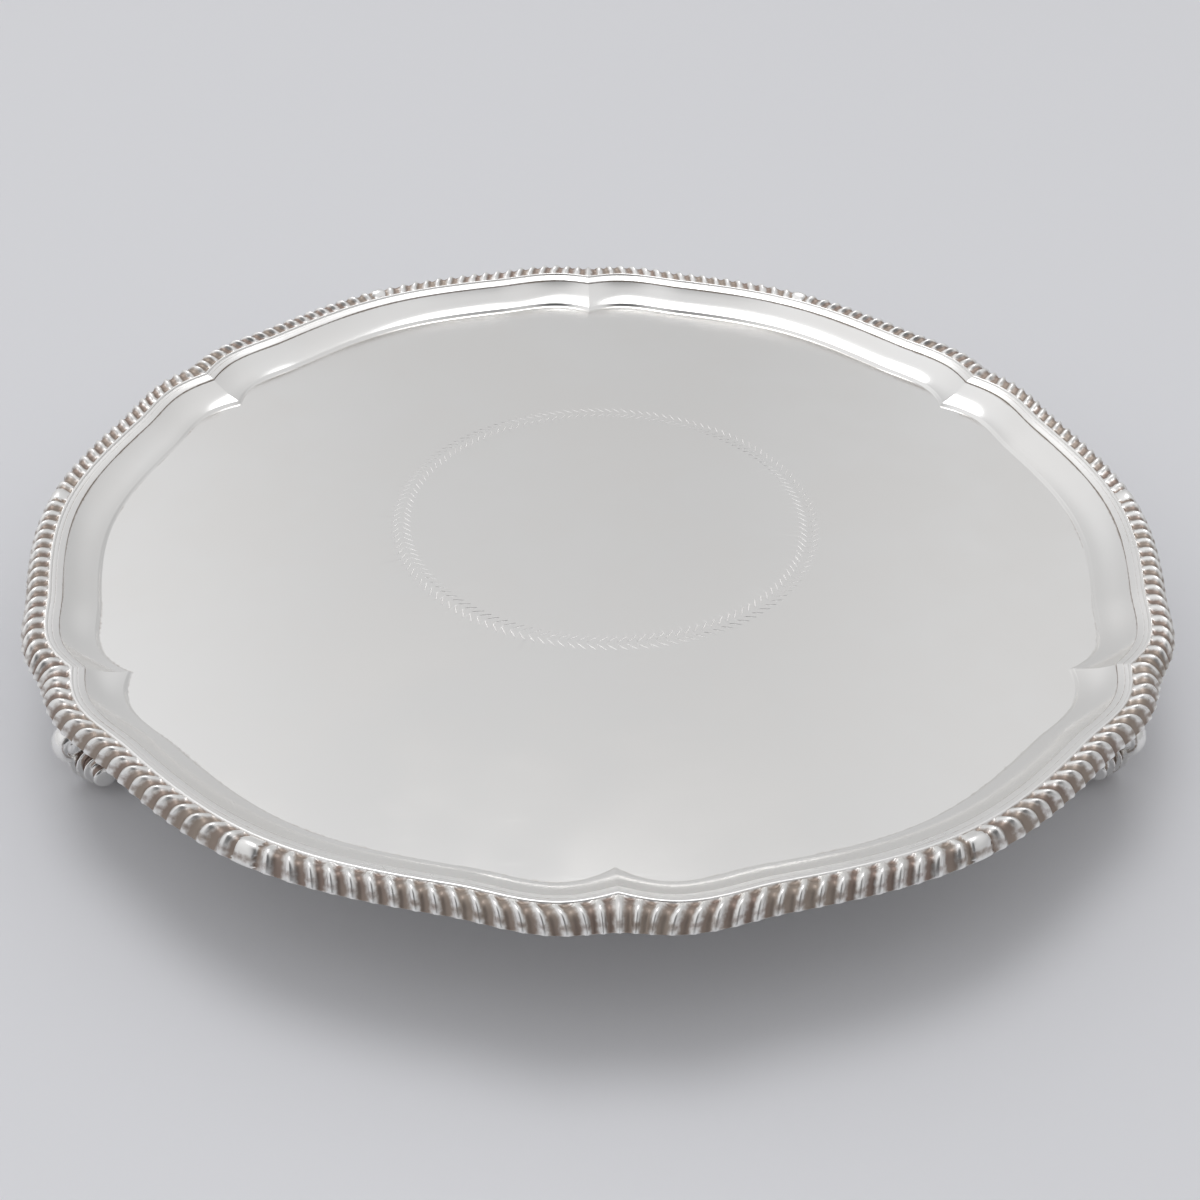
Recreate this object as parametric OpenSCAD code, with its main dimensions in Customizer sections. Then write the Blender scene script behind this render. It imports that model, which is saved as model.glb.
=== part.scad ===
// Round silver salver: a raised six-lobed tray of sheet, a gadrooned border
// cast in six lengths, and three cast scroll feet.
// The origin is on the table under the middle of the tray, with +Z up.
// A cusp with a foot under it lies on +Y. Lengths are in millimetres, angles in degrees.

/* [Outline] */
// Mean radius of the gadroons' inner edge
outline_r = 146.7; // [110:1:190]
// Distance that each cusp lies inside the mean radius
cusp_in = 1.9; // [0.5:0.1:4]
// Distance that the shoulders beside a cusp stand out
shoulder_out = 0.95; // [0:0.05:3]
// Angle from a cusp to its shoulder
shoulder_at = 5.5; // [4:0.25:8]
// Distance that the shallow dip past a shoulder lies inside the mean radius
dip_in = 0.95; // [0:0.05:3]
// Angle from a cusp to the dip
dip_at = 13.5; // [10:0.5:18]
// Distance that the middle of a lobe stands out
lobe_out = 0.55; // [0:0.05:3]
// Extra reach of the outline over the three feet
foot_throw = 1.65; // [0:0.05:3]

/* [Tray] */
// Thickness of the silver sheet
sheet = 1.1; // [0.8:0.05:1.6]
// Depth of the floor below the gadroons' inner edge
well_depth = 7.4; // [5:0.1:12]
// Distance from the gadroons' inner edge to the edge of the floor
well_inset = 11.6; // [9:0.1:20]
// Extra reach of the floor's edge into the floor at a cusp
well_cusp = 1.9; // [0:0.1:3]
// Width of the steep lip round the floor
lip_w = 1.2; // [0.5:0.1:2]
// Height of the steep lip round the floor
lip_h = 0.9; // [0.4:0.05:1.5]
// Hollowness of the cavetto, from a straight slope at 0
cavetto_hollow = 0.45; // [0:0.05:0.8]
// Reach of the hidden flange past the gadroons' inner edge
flange_w = 1.5; // [0.5:0.1:3]

/* [Border] */
// Width of the gadroons across the border
gadroon_w = 5.9; // [5:0.1:9]
// Extra reach of the gadroons at a cusp
cusp_reach = 2.0; // [0:0.1:3]
// Rise of the gadroons above their inner edge
gadroon_rise = 1.7; // [0.3:0.1:2]
// Fall of the gadroons' outer ends below their inner edge
gadroon_drop = 1.9; // [1:0.1:3]
// Number of gadroons in half a lobe
gadroons = 18; // [12:1:24]
// Depth of the grooves between the gadroons
groove_deep = 0.8; // [0.3:0.05:1.2]
// Angle that a gadroon's outer end leans towards the nearest cusp
gadroon_lean = 1.1; // [0:0.1:2]
// Depth of the border's outer lip below the gadroons' inner edge
border_deep = 2.7; // [2.5:0.1:5]
// Width of the plain fillet inside the gadroons
fillet_w = 0.8; // [0.4:0.1:1.5]
// Height of the plain fillet
fillet_h = 0.25; // [0.1:0.05:0.6]
// Width of the moulded band inside the gadroons
band_w = 3.3; // [2:0.1:5]
// Fall of the moulded band
band_drop = 1.2; // [0.5:0.05:2]
// Height of the step at the band's inner edge
step_h = 0.45; // [0.2:0.05:0.8]

/* [Feet] */
// Height of the tray's underside above the table
foot_h = 25.2; // [14:0.1:30]
// Distance that a foot's scroll stands inside the outline
foot_in = 0.0; // [-3:0.5:10]
// Radius of a foot's scroll
scroll_r = 6.5; // [5:0.1:8]
// Half the width of the scroll's middle band
scroll_band = 2.3; // [1.5:0.1:3]
// Fall in radius at each of the scroll's steps
scroll_step = 1.1; // [0.5:0.05:1.5]
// Width of each of the scroll's steps
scroll_step_w = 2.55; // [1:0.05:3]
// Radius of the button at each end of the scroll
button_r = 2.8; // [1.5:0.1:3.5]
// Length of the waist behind each button
waist_w = 2.8; // [2:0.1:4]
// Depth of the flat worn under the scroll
worn = 0.15; // [0.05:0.05:0.4]
// Thickness of the knee's outer band
knee_band = 4.6; // [3:0.1:6]
// Half the width of the knee's outer band
knee_half = 3.4; // [3:0.1:6]
// Radius of the bend that the band follows
knee_bend = 3.2; // [2.5:0.1:6]
// Distance from the scroll out to the middle of the bend
knee_out = 3.4; // [0:0.05:6]
// Height of the middle of that bend above the table
knee_h = 11.6; // [8:0.1:18]
// Radius of the boss inside the bend
boss_r = 3.6; // [3:0.1:5]
// Half the width of the boss
boss_half = 4.2; // [4:0.1:7]
// Height of the boss above the middle of the bend
boss_up = 1.0; // [0:0.1:4]
// Radius of the neck that joins the knee to the tray
neck_r = 4.0; // [3:0.1:6]
// Distance from the scroll in to the neck's top
neck_in = 5.4; // [3:0.1:8]

/* [Fit] */
// Solder gap between neighbouring pieces
solder = 0.05; // [0.02:0.01:0.1]

/* [Hidden] */

lobe_a = 60;           // angle of one lobe
first_cusp = 30;       // angle of the first cusp
foot_at = 90;          // angle of the first foot
foot_a = 120;          // angle between feet
rim_h = foot_h + sheet + well_depth;      // height of the gadroons' inner edge
step_z = -band_drop - step_h;             // height of the flange below the rim
cusp_spread = 2.5;     // angle over which a cusp's extra reach dies away
half_steps = 14;       // stations round half a lobe of the tray
crowding = 1.4;        // how closely the stations crowd towards a cusp
cavetto_steps = 5;     // facets down the cavetto
lean_fade = 4;         // angle over which the lean dies away at a cusp or a lobe's middle
gap_a = solder / 2 / outline_r * 180 / PI;    // half the solder gap at a cusp, as an angle
button_w = 0.7;        // thickness of a scroll's button
undercut = 0.9;        // how far each step of the scroll is hollowed behind its rim
steps = 2;             // steps on each side of the scroll
knee_from = -100;      // angle at which the knee's band leaves the scroll
knee_sweep = 260;      // angle that the knee's band sweeps through
squareness = 5;        // power of the gadroons' fall, higher for a squarer outer edge
lean_growth = 1.3;     // power by which the lean grows towards the gadroons' outer ends
tip_tuck = 0.5;        // how far the border's underside is set in from the gadroons' tips
band_crown = 1 / 3;    // share of the band's drop left at the middle of its width
waist_share = 0.6;     // share of a waist's length at which it starts to flare again
gadroon_stations = [[0, 0], [0.2, 0.8], [0.5, 1], [0.8, 1], [1, 0.5]];    // [place along a gadroon, groove share]
below = 50;            // size of the block that trims a foot level with the table
round_fn = 64;         // smoothness of the turned shapes
cut_past = 10;         // how far a cutting shape runs past what it cuts

silver = [0.80, 0.80, 0.79];
bright = [0.88, 0.88, 0.87];
cast_silver = [0.72, 0.71, 0.69];

// ---- the outline and the points that follow it ----

function mix(a, b, t) = a + (b - a) * t;
function ease(t) = (1 - cos(180 * t)) / 2;

// Angle to the nearest cusp
function from_cusp(a) =
    let (m = (a - first_cusp) % lobe_a, p = m < 0 ? m + lobe_a : m)
    min(p, lobe_a - p);

// Radius of the gadroons' inner edge: cusp, shoulder, dip and lobe
function lobe(d) =
    d < shoulder_at ? mix(-cusp_in, shoulder_out, sin(90 * d / shoulder_at)) :
    d < dip_at ? mix(shoulder_out, -dip_in, ease((d - shoulder_at) / (dip_at - shoulder_at))) :
    mix(-dip_in, lobe_out, ease((d - dip_at) / (lobe_a / 2 - dip_at)));
function outline(a) =
    outline_r + foot_throw * cos(360 / foot_a * (a - foot_at)) + lobe(from_cusp(a));

// A point at an angle, a distance inside the outline and a height above the rim
function at(a, q) =
    let (share = max(0, q.x) / well_inset,
         pull = well_cusp * min(1, share * share) * exp(-from_cusp(a) / cusp_spread),
         r = outline(a) - q.x - pull)
    [r * cos(a), r * sin(a), rim_h + q.y];

// Closed skin over rings of points of equal length, joined end to end
function ring_faces(rings, count, closed) = [
    for (i = [0 : rings - 2], j = [0 : count - (closed ? 1 : 2)])
        let (a = i * count + j, b = i * count + (j + 1) % count, c = a + count, d = b + count)
        each [[a, b, d], [a, d, c]]
];

// ---- tray ----

// Section of the tray's upper face, from the flange in to the floor, as [inset, height]
upper = concat(
    [[-flange_w, step_z]],
    [for (i = [0 : cavetto_steps])
        let (t = i / cavetto_steps, fall = (1 + cavetto_hollow) * t - cavetto_hollow * t * t)
        [mix(band_w, well_inset - lip_w, t), mix(step_z, lip_h - well_depth, fall)]],
    [[well_inset, -well_depth]]
);
// The same section carried down through the sheet, square to the face at each point
function across(i) =
    let (last = len(upper) - 1,
         q = i == last ? upper[i] + [1, 0] : upper[i + 1],
         p = i == 0 ? upper[i] - [1, 0] : upper[i - 1],
         run = (q - upper[i]) / norm(q - upper[i]) + (upper[i] - p) / norm(upper[i] - p),
         u = run / norm(run))
    [u.y, -u.x] * sheet / max(0.5, norm(run) / 2);
under = [for (i = [0 : len(upper) - 1]) upper[i] + across(i)];

// Stations round the tray, closer together near the cusps
half_lobe = [for (k = [0 : half_steps - 1]) lobe_a / 2 * pow(k / half_steps, crowding)];
stations = [for (n = [0 : 360 / lobe_a - 1])
    let (c = first_cusp + n * lobe_a)
    each concat([for (d = half_lobe) c + d],
                [for (k = [0 : half_steps - 1]) k == 0 ? c + lobe_a / 2 : c + lobe_a - half_lobe[half_steps - k]])];

module tray() {
    count = len(stations);
    section = concat([for (i = [len(upper) - 1 : -1 : 0]) upper[i]], under);
    rings = [for (q = section) each [for (a = stations) at(a, q)]];
    middle = len(rings);
    last = middle - count;
    color(bright)
        polyhedron(
            points = concat(rings, [[0, 0, rim_h - well_depth], [0, 0, rim_h - well_depth - sheet]]),
            faces = concat(
                ring_faces(len(section), count, true),
                [for (j = [0 : count - 1]) [(j + 1) % count, j, middle]],
                [for (j = [0 : count - 1]) [last + j, last + (j + 1) % count, middle + 1]]),
            convexity = 6);
}

// ---- border ----

// Height of the gadroons' crests, u running from 0 at their inner edge to 1 outside
function crest(u) = gadroon_rise * sin(180 * u) - gadroon_drop * pow(u, squareness);
// Section of a border length, as [inset, height, groove share, lean share]
function gadroon_point(u, share) = [-gadroon_w * u, crest(u), share, pow(u, lean_growth)];
border_section = concat(
    [[band_w, step_z + solder, 0, 0],
     [band_w, -band_drop, 0, 0],
     [band_w / 2, -band_drop * band_crown, 0, 0],
     [fillet_w / 2, fillet_h, 0, 0]],
    [for (q = gadroon_stations) gadroon_point(q.x, q.y)],
    [[tip_tuck - gadroon_w, -border_deep, 0, 0],
     [-flange_w - solder, -border_deep, 0, 0],
     [-flange_w - solder, step_z + solder, 0, 0]]
);

// A border length from one cusp to the next
module border(from) {
    count = 4 * gadroons + 1;
    span = lobe_a - 2 * gap_a;
    rings = [for (q = border_section, k = [0 : count - 1])
        let (c = mix(-span / 2, span / 2, k / (count - 1)),
             side = abs(c),
             fade = min(1, side / lean_fade, (span / 2 - side) / lean_fade),
             a = from + lobe_a / 2 + c + sign(c) * gadroon_lean * q[3] * fade,
             sunk = k % 2 == 1 ? groove_deep * q[2] : 0,
             wall = flange_w + solder,
             out = max(0, -q.x - wall) / (gadroon_w - wall) * cusp_reach * exp(-from_cusp(a) / cusp_spread))
        at(a, [q.x + sunk * max(0, -q.x) / gadroon_w - out, q.y - sunk])];
    rows = len(border_section);
    start = [for (i = [0 : rows - 1]) i * count];
    color(cast_silver)
        polyhedron(
            points = rings,
            faces = concat(
                ring_faces(rows, count, false),
                [for (j = [0 : count - 2])
                    let (a = start[rows - 1] + j)
                    each [[a, a + 1, j + 1], [a, j + 1, j]]],
                [[for (i = [rows - 1 : -1 : 0]) start[i]], [for (q = start) q + count - 1]]),
            convexity = 8);
}

module border_front_left() { border(210); }
module border_front_right() { border(270); }
module border_left() { border(150); }
module border_right() { border(330); }
module border_back_left() { border(90); }
module border_back_right() { border(30); }

// ---- feet ----

// Half of the scroll's turned outline, from its middle out to the button, as [radius, distance]
function scroll_side() = concat(
    [[scroll_r, scroll_band]],
    [for (k = [1 : steps])
        let (r = scroll_r - k * scroll_step, y = scroll_band + k * scroll_step_w)
        each [[r - undercut, y - scroll_step_w], [r, y]]],
    let (y = scroll_band + steps * scroll_step_w)
    [[button_r - undercut, y + waist_w * waist_share], [button_r, y + waist_w], [button_r, y + waist_w + button_w]]
);

module scroll() {
    side = scroll_side();
    far = side[len(side) - 1].y;
    rotate([90, 0, 0])
        rotate_extrude($fn = round_fn)
            polygon(concat([[0, -far]],
                           [for (i = [len(side) - 1 : -1 : 0]) [side[i].x, -side[i].y]],
                           side,
                           [[0, far]]));
}

// The space that the tray fills over a foot, with the solder gap under it
module over_foot(turn) {
    near = [for (k = [-half_steps / 2 : half_steps / 2])
        turn + sign(k) * lobe_a / 2 * pow(abs(k) / half_steps, crowding)];
    low = [for (q = under) q - [0, solder]];
    rows = concat([low[0] - [cut_past, 0]], low, [low[len(low) - 1] + [cut_past, 0]]);
    count = len(near);
    all = len(rows) * count;
    last = all - count;
    skin = ring_faces(len(rows), count, false);
    polyhedron(
        points = concat(
            [for (q = rows) each [for (a = near) at(a, q)]],
            [for (q = rows) each [for (a = near) at(a, [q.x, cut_past])]]),
        faces = concat(
            skin,
            [for (f = skin) [f[2] + all, f[1] + all, f[0] + all]],
            [for (j = [0 : count - 2]) each [[j + 1, j, j + all], [j + 1, j + all, j + 1 + all]]],
            [for (j = [last : all - 2]) each [[j, j + 1, j + 1 + all], [j, j + 1 + all, j + all]]],
            [for (a = [0 : count : last - 1])
                let (c = a + count)
                each [[a, c, c + all], [a, c + all, a + all]]],
            [for (b = [count - 1 : count : last - 1])
                let (d = b + count)
                each [[d, b, b + all], [d, b + all, d + all]]]),
        convexity = 6);
}

module foot(turn) {
    at_r = outline(turn) - foot_in;
    color(silver)
        difference() {
            rotate([0, 0, turn]) translate([at_r, 0, 0]) difference() {
                union() {
                    translate([0, 0, scroll_r - worn]) scroll();
                    translate([knee_out, 0, knee_h]) {
                        scale([1, 2 * knee_half / knee_band, 1])
                            rotate([90, 0, 0]) rotate([0, 0, knee_from])
                                rotate_extrude(angle = knee_sweep, $fn = round_fn)
                                    translate([knee_bend, 0]) circle(r = knee_band / 2, $fn = round_fn / 2);
                        translate([0, 0, boss_up])
                            scale([1, boss_half / boss_r, 1]) sphere(r = boss_r, $fn = round_fn);
                    }
                    translate([knee_out, 0, knee_h + boss_up])
                        rotate([0, -atan2(neck_in + knee_out, rim_h - knee_h - boss_up), 0])
                            cylinder(r = neck_r, h = rim_h - knee_h, $fn = round_fn);
                }
                translate([-below, -below, -2 * below]) cube(2 * below);
            }
            over_foot(turn);
        }
}

module foot_back() { foot(foot_at); }
module foot_left() { foot(foot_at + foot_a); }
module foot_right() { foot(foot_at + 2 * foot_a); }

tray();
border_front_left();
border_front_right();
border_left();
border_right();
border_back_left();
border_back_right();
foot_back();
foot_left();
foot_right();
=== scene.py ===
"""Silver salver: a raised tray, a gadrooned border in six lengths and three scroll feet.

Every length is in metres and every angle is in degrees unless a name says otherwise.
"""

from __future__ import annotations

import logging
import math
from dataclasses import dataclass, field
from enum import Enum
from typing import Iterable, Sequence

import bpy
from mathutils import Matrix, Vector


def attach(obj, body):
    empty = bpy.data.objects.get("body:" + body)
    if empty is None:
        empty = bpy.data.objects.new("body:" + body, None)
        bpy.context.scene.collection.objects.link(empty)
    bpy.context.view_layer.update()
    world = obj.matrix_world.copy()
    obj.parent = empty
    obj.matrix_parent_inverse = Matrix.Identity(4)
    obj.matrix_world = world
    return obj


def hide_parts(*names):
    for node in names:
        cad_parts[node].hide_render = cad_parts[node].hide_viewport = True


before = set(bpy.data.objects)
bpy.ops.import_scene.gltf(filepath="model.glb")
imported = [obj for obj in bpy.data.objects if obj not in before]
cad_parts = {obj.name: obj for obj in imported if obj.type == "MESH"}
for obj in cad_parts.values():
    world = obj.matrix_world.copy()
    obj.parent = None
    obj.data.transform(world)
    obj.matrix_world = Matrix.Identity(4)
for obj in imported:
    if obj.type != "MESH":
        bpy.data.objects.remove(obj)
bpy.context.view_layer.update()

LOG = logging.getLogger("salver")
MM = 0.001
BAR_MARKS = ("inset", "height", "share", "u")

Section = list[tuple[float, float]]


def mix(low: float, high: float, share: float) -> float:
    """Return the value a share of the way from low to high."""
    return low + (high - low) * share


def ease(share: float) -> float:
    """Return a share that starts and ends slowly."""
    return (1 - math.cos(math.pi * share)) / 2


def clamp(value: float) -> float:
    """Return the value held between 0 and 1."""
    return max(0.0, min(1.0, value))


def near(away: float, soft: float) -> float:
    """Return 1 at a place and less the further away from it, softly."""
    return math.exp(-abs(away) / soft)


class Slot(Enum):
    """Material slots."""

    SHEET = "sheet_silver"
    BORDER = "border_silver"
    FOOT = "foot_silver"


class Length(Enum):
    """The six border lengths, each with the angle of the cusp that it starts from."""

    BACK_RIGHT = ("border_back_right", 30)
    BACK_LEFT = ("border_back_left", 90)
    LEFT = ("border_left", 150)
    FRONT_LEFT = ("border_front_left", 210)
    FRONT_RIGHT = ("border_front_right", 270)
    RIGHT = ("border_right", 330)


class Stand(Enum):
    """The three feet, each with the angle that it stands at."""

    BACK = ("foot_back", 90)
    LEFT = ("foot_left", 210)
    RIGHT = ("foot_right", 330)


# ---- outline shared by the tray, the border and the feet ----


@dataclass(frozen=True)
class Outline:
    """Six-lobed outline of the gadroons' inner edge, with a cusp over each foot."""

    mean: float = 146.7 * MM
    cusp_in: float = 1.9 * MM
    shoulder_out: float = 0.95 * MM
    shoulder_at: float = 5.5
    dip_in: float = 0.95 * MM
    dip_at: float = 13.5
    lobe_out: float = 0.55 * MM
    foot_throw: float = 1.65 * MM
    foot_at: float = 90
    feet: int = 3
    first_cusp: float = 30
    lobe_a: float = 60
    rim_z: float = 33.7 * MM

    def from_cusp(self, angle: float) -> float:
        """Return the angle to the nearest cusp."""
        past = (angle - self.first_cusp) % self.lobe_a
        return min(past, self.lobe_a - past)

    def lobe(self, away: float) -> float:
        """Measure how far the lobed edge stands outside the mean circle.

        Args:
            away: Angle from the nearest cusp.

        Returns:
            Distance outwards from the mean circle.
        """
        if away < self.shoulder_at:
            share = math.sin(math.pi / 2 * away / self.shoulder_at)
            return mix(-self.cusp_in, self.shoulder_out, share)
        if away < self.dip_at:
            share = ease((away - self.shoulder_at) / (self.dip_at - self.shoulder_at))
            return mix(self.shoulder_out, -self.dip_in, share)
        share = ease((away - self.dip_at) / (self.lobe_a / 2 - self.dip_at))
        return mix(-self.dip_in, self.lobe_out, share)

    def swing(self, angle: float) -> float:
        """Return how far the outline at an angle stands outside the mean circle."""
        throw = self.foot_throw * math.cos(math.radians(self.feet * (angle - self.foot_at)))
        return throw + self.lobe(self.from_cusp(angle))

    def reach(self, angle: float) -> float:
        """Return the outline's radius at an angle."""
        return self.mean + self.swing(angle)


# ---- the bench: what is done to a piece by hand ----


class Bench:
    """Edit-mode steps on the piece in hand."""

    @staticmethod
    def clear() -> None:
        """Leave edit mode and let go of everything."""
        if bpy.context.object and bpy.context.object.mode != "OBJECT":
            bpy.ops.object.mode_set(mode="OBJECT")
        bpy.ops.object.select_all(action="DESELECT")

    @staticmethod
    def hold(piece: bpy.types.Object) -> None:
        """Make one piece the only one in hand."""
        Bench.clear()
        piece.select_set(True)
        bpy.context.view_layer.objects.active = piece

    @staticmethod
    def named(name: str) -> bpy.types.Object:
        """Name the piece just added, with its mesh, and return it."""
        piece = bpy.context.object
        piece.name = name
        piece.data.name = name
        return piece

    @staticmethod
    def ring(name: str, count: int, radius: float, height: float) -> bpy.types.Object:
        """Lay a level ring of wire about the middle of the tray.

        Args:
            name: Name of the piece.
            count: Number of corners round the ring.
            radius: Radius of the ring.
            height: Height of the ring above the table.

        Returns:
            The ring, as the piece in hand.
        """
        Bench.clear()
        bpy.ops.mesh.primitive_circle_add(vertices=count, radius=radius, location=(0, 0, height))
        bpy.ops.object.transform_apply(location=True, rotation=True, scale=True)
        return Bench.named(name)

    @staticmethod
    def edit() -> None:
        """Open the piece in hand for editing, with all of it selected."""
        bpy.ops.object.mode_set(mode="EDIT")
        bpy.ops.mesh.select_mode(type="VERT")
        bpy.ops.mesh.select_all(action="SELECT")

    @staticmethod
    def done() -> None:
        """Close the piece in hand."""
        bpy.ops.object.mode_set(mode="OBJECT")

    @staticmethod
    def draw_on(grow: float, drop: float) -> None:
        """Draw the selected ring on to a new place, growing its radius by a factor and lifting it."""
        bpy.ops.mesh.extrude_region_move(TRANSFORM_OT_translate={"value": (0, 0, drop)})
        bpy.ops.transform.resize(value=(grow, grow, 1), center_override=Vector((0, 0, 0)))

    @staticmethod
    def tidy(gap: float = 0.001 * MM) -> None:
        """Merge doubled points and turn every face outwards, in edit mode."""
        bpy.ops.mesh.select_all(action="SELECT")
        bpy.ops.mesh.remove_doubles(threshold=gap)
        bpy.ops.mesh.normals_make_consistent(inside=False)

    @staticmethod
    def cap_ends() -> None:
        """Close every open end of the piece in hand, in edit mode."""
        bpy.ops.mesh.select_all(action="DESELECT")
        bpy.ops.mesh.select_non_manifold(extend=False, use_wire=False, use_boundary=True,
                                         use_multi_face=False, use_non_contiguous=False, use_verts=False)
        bpy.ops.mesh.edge_face_add()

    @staticmethod
    def close_up(gap: float = 0.001 * MM) -> None:
        """Cap the open ends of the piece in hand, tidy it and close it."""
        Bench.cap_ends()
        Bench.tidy(gap)
        Bench.done()

    @staticmethod
    def turned(name: str, count: int, profile: Section, wide: float = 1.0,
               tall: float = 1.0) -> bpy.types.Object:
        """Draw a ring up along a profile and close both its ends.

        Args:
            name: Name of the piece.
            count: Number of corners round the ring.
            profile: Radii and heights.
            wide: Factor on the radii.
            tall: Factor on the heights.

        Returns:
            The closed piece.
        """
        piece = Bench.ring(name, count, wide * profile[0][0], tall * profile[0][1])
        Bench.edit()
        for (radius, height), (next_radius, next_height) in zip(profile, profile[1:]):
            Bench.draw_on(next_radius / radius, (next_height - height) * tall)
        Bench.close_up()
        return piece

    @staticmethod
    def join(pieces: Sequence[bpy.types.Object]) -> bpy.types.Object:
        """Join pieces into the first of them.

        Args:
            pieces: The pieces, whose points keep this order.

        Returns:
            The joined piece, as the piece in hand.
        """
        Bench.clear()
        for piece in pieces:
            piece.select_set(True)
        bpy.context.view_layer.objects.active = pieces[0]
        bpy.ops.object.join()
        return bpy.context.object

    @staticmethod
    def finish_with(piece: bpy.types.Object, kind: str, **settings: object) -> None:
        """Add one modifier to a piece and apply it.

        Args:
            piece: Piece to work on.
            kind: Kind of modifier.
            **settings: The modifier's own settings.
        """
        Bench.hold(piece)
        modifier = piece.modifiers.new(kind.lower(), kind)
        for name, value in settings.items():
            setattr(modifier, name, value)
        bpy.ops.object.modifier_apply(modifier=modifier.name)

    @staticmethod
    def smooth(piece: bpy.types.Object, angle: float) -> None:
        """Shade a piece smooth, apart from edges sharper than an angle."""
        Bench.hold(piece)
        bpy.ops.object.shade_smooth_by_angle(angle=math.radians(angle))

    @staticmethod
    def copy(piece: bpy.types.Object, name: str) -> bpy.types.Object:
        """Copy a piece with a mesh of its own and return the copy."""
        twin = piece.copy()
        twin.data = piece.data.copy()
        twin.name = name
        twin.data.name = name
        bpy.context.scene.collection.objects.link(twin)
        return twin

    @staticmethod
    def scrap(piece: bpy.types.Object) -> None:
        """Throw away a piece that was only needed on the way."""
        mesh = piece.data
        bpy.data.objects.remove(piece)
        bpy.data.meshes.remove(mesh)

    @staticmethod
    def note(piece: bpy.types.Object, name: str, values: Iterable[float]) -> None:
        """Write one number for each point of a piece, for its finish to read."""
        mesh = piece.data
        old = mesh.attributes.get(name)
        if old:
            mesh.attributes.remove(old)
        mark = mesh.attributes.new(name, "FLOAT", "POINT")
        mark.data.foreach_set("value", list(values))

    @staticmethod
    def noted(piece: bpy.types.Object, name: str) -> list[float]:
        """Read back the number written for each point of a piece."""
        mark = piece.data.attributes[name]
        values = [0.0] * len(mark.data)
        mark.data.foreach_get("value", values)
        return values


# ---- shader wiring and the effects that the finishes share ----


class Wiring:
    """Adds and joins the nodes of one tree."""

    def __init__(self, tree: bpy.types.NodeTree) -> None:
        """Start on a node tree."""
        self.tree = tree

    @classmethod
    def on(cls, block: bpy.types.Material | bpy.types.World) -> "Wiring":
        """Clear the nodes of a material or a world and start on them."""
        block.use_nodes = True
        block.node_tree.nodes.clear()
        return cls(block.node_tree)

    def add(self, kind: str, inputs: dict[str | int, object] | None = None,
            **settings: object) -> bpy.types.Node:
        """Add one node.

        Args:
            kind: Node type, without its ShaderNode or NodeGroup prefix.
            inputs: Values or sockets for the node's inputs, by name or number.
            **settings: The node's own settings.

        Returns:
            The new node.
        """
        prefix = "" if kind.startswith("NodeGroup") else "ShaderNode"
        node = self.tree.nodes.new(prefix + kind)
        for name, value in settings.items():
            setattr(node, name, value)
        for key, value in (inputs or {}).items():
            if isinstance(value, bpy.types.NodeSocket):
                self.tree.links.new(value, node.inputs[key])
            else:
                node.inputs[key].default_value = value
        return node

    def math(self, operation: str, *values: object) -> bpy.types.NodeSocket:
        """Work out one number from others and return its socket."""
        return self.add("Math", dict(enumerate(values)), operation=operation).outputs[0]

    def ramp(self, value: object, low: float, high: float, out_low: float = 0.0,
             out_high: float = 1.0) -> bpy.types.NodeSocket:
        """Spread a number smoothly from one range over another.

        Args:
            value: Number or socket to spread.
            low: Where the range starts.
            high: Where the range ends.
            out_low: Result at the start.
            out_high: Result at the end.

        Returns:
            Socket of the result.
        """
        inputs = {"Value": value, "From Min": low, "From Max": high, "To Min": out_low, "To Max": out_high}
        return self.add("MapRange", inputs, interpolation_type="SMOOTHSTEP").outputs["Result"]

    def noise(self, vector: object, scale: object, detail: float = 2.0,
              rough: float = 0.5) -> bpy.types.NodeSocket:
        """Add a noise pattern and return its value socket."""
        inputs = {"Vector": vector, "Scale": scale, "Detail": detail, "Roughness": rough}
        return self.add("TexNoise", inputs).outputs["Fac"]

    def stretched(self, vector: object, turn: float,
                  stretch: tuple[float, float, float]) -> bpy.types.NodeSocket:
        """Turn and stretch a pattern's coordinates and return their socket."""
        inputs = {"Vector": vector, "Rotation": (0, 0, math.radians(turn)), "Scale": stretch}
        return self.add("Mapping", inputs).outputs["Vector"]

    def blend(self, share: object, first: object, second: object) -> bpy.types.NodeSocket:
        """Blend two colours by a share and return the colour socket."""
        inputs = {"Factor": share, 6: first, 7: second}
        return self.add("Mix", inputs, data_type="RGBA").outputs[2]

    def mark(self, name: str) -> bpy.types.NodeSocket:
        """Read the number written for each point under a name."""
        return self.add("Attribute", attribute_name=name, attribute_type="GEOMETRY").outputs["Fac"]

    def bump(self, height: object, deep: float, under: object = None) -> bpy.types.NodeSocket:
        """Raise a surface by a height, over another bump if there is one.

        Args:
            height: Socket of the height, from 0 to 1.
            deep: Distance that the full height stands for.
            under: Socket of the bump below, if any.

        Returns:
            Socket of the bumped normal.
        """
        inputs = {"Strength": 1.0, "Distance": deep, "Height": height}
        if under is not None:
            inputs["Normal"] = under
        return self.add("Bump", inputs).outputs[0]


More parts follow.
